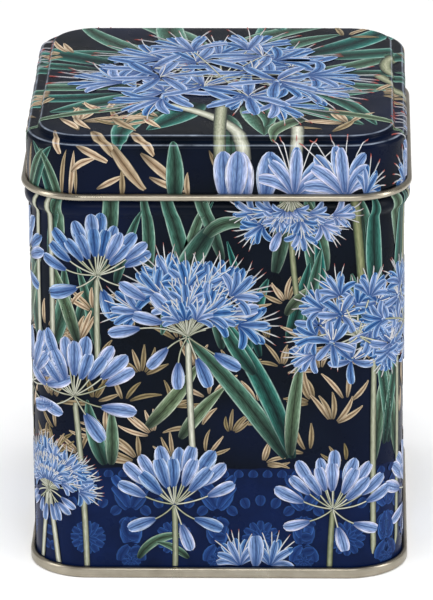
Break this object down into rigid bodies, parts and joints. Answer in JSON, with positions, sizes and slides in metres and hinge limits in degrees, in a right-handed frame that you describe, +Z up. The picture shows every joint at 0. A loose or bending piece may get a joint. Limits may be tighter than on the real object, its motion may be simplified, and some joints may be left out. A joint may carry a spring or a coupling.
{
  "type": "spice tin",
  "caption": "Square tinplate spice tin with rounded upright corners, a curled slip lid with a stepped top, a plug lid inside and a rolled bottom seam.",
  "frame": {"origin": "middle of the base, on the plane the tin stands on", "axes": "+Z up through the lid, -Y towards the front face, +X to the right of the front face"},
  "size_m": [0.0678, 0.0678, 0.0817],
  "materials": {
    "printed_wall": "glossy varnished print on tinplate",
    "printed_lid": "glossy varnished print on tinplate",
    "bare_tinplate": "lacquered bare tinplate, pale gold",
    "inner_tinplate": "plain bright tinplate",
    "knob_metal": "turned, satin"
  },
  "bodies": {
    "tin_body": {"body_wall": "printed_wall", "base_end": "bare_tinplate"},
    "plug_lid_body": {"plug_lid": "inner_tinplate", "grip_knob": "knob_metal"},
    "slip_lid": {"lid": "printed_lid"}
  },
  "joints": [
    {"name": "plug_lid_lift", "type": "slide", "parent": "tin_body", "child": "plug_lid_body", "axis": [0, 0, 1], "range_m": [0, 0.03]},
    {"name": "slip_lid_lift", "type": "slide", "parent": "plug_lid_body", "child": "slip_lid", "axis": [0, 0, 1], "range_m": [0, 0.03]}
  ]
}
